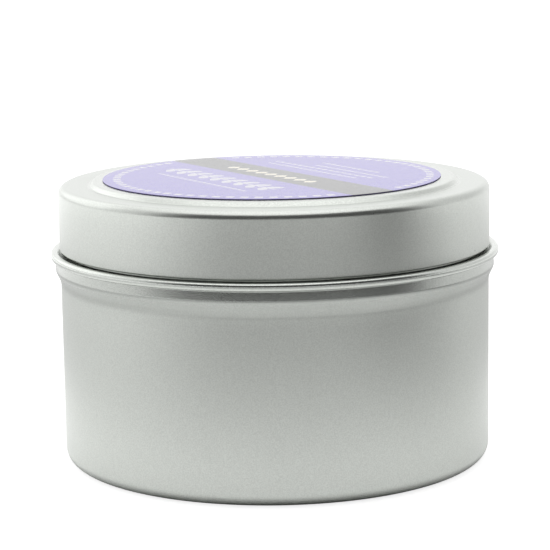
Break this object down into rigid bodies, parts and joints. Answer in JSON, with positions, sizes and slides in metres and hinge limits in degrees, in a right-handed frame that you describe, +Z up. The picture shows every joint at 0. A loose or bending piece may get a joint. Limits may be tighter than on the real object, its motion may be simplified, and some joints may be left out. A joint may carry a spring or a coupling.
{
  "type": "candle tin",
  "caption": "Round seamless slip-lid tin with a rolled bead and stacking lid, a poured wax fill, one cotton wick on a metal sustainer, and a printed lid label.",
  "frame": {"origin": "centre of the foot, on the surface that the tin stands on", "axes": "+Z up along the tin's axis of revolution; +Y away from the front, +X to the right"},
  "size_m": [0.0834, 0.0834, 0.0526],
  "materials": {
    "tin_satin": "satin tinplate with a fine drawn grain",
    "printed_label": "semi-gloss printed label",
    "plain_label": "matt white label",
    "soy_wax": "smooth poured soy wax",
    "cotton_wick": "waxed braided cotton",
    "tab_steel": "zinc-plated sheet",
    "foam_dot": "closed-cell adhesive foam"
  },
  "bodies": {
    "base": {"tin_base": "tin_satin", "wax": "soy_wax", "wick": "cotton_wick", "wick_tab": "tab_steel", "wick_sticker": "foam_dot", "base_label": "plain_label"},
    "lid": {"tin_lid": "tin_satin", "lid_label": "printed_label"}
  },
  "joints": [
    {"name": "lid_lift", "type": "slide", "parent": "base", "child": "lid", "axis": [0, 0, 1], "range_m": [0, 0.05]}
  ]
}
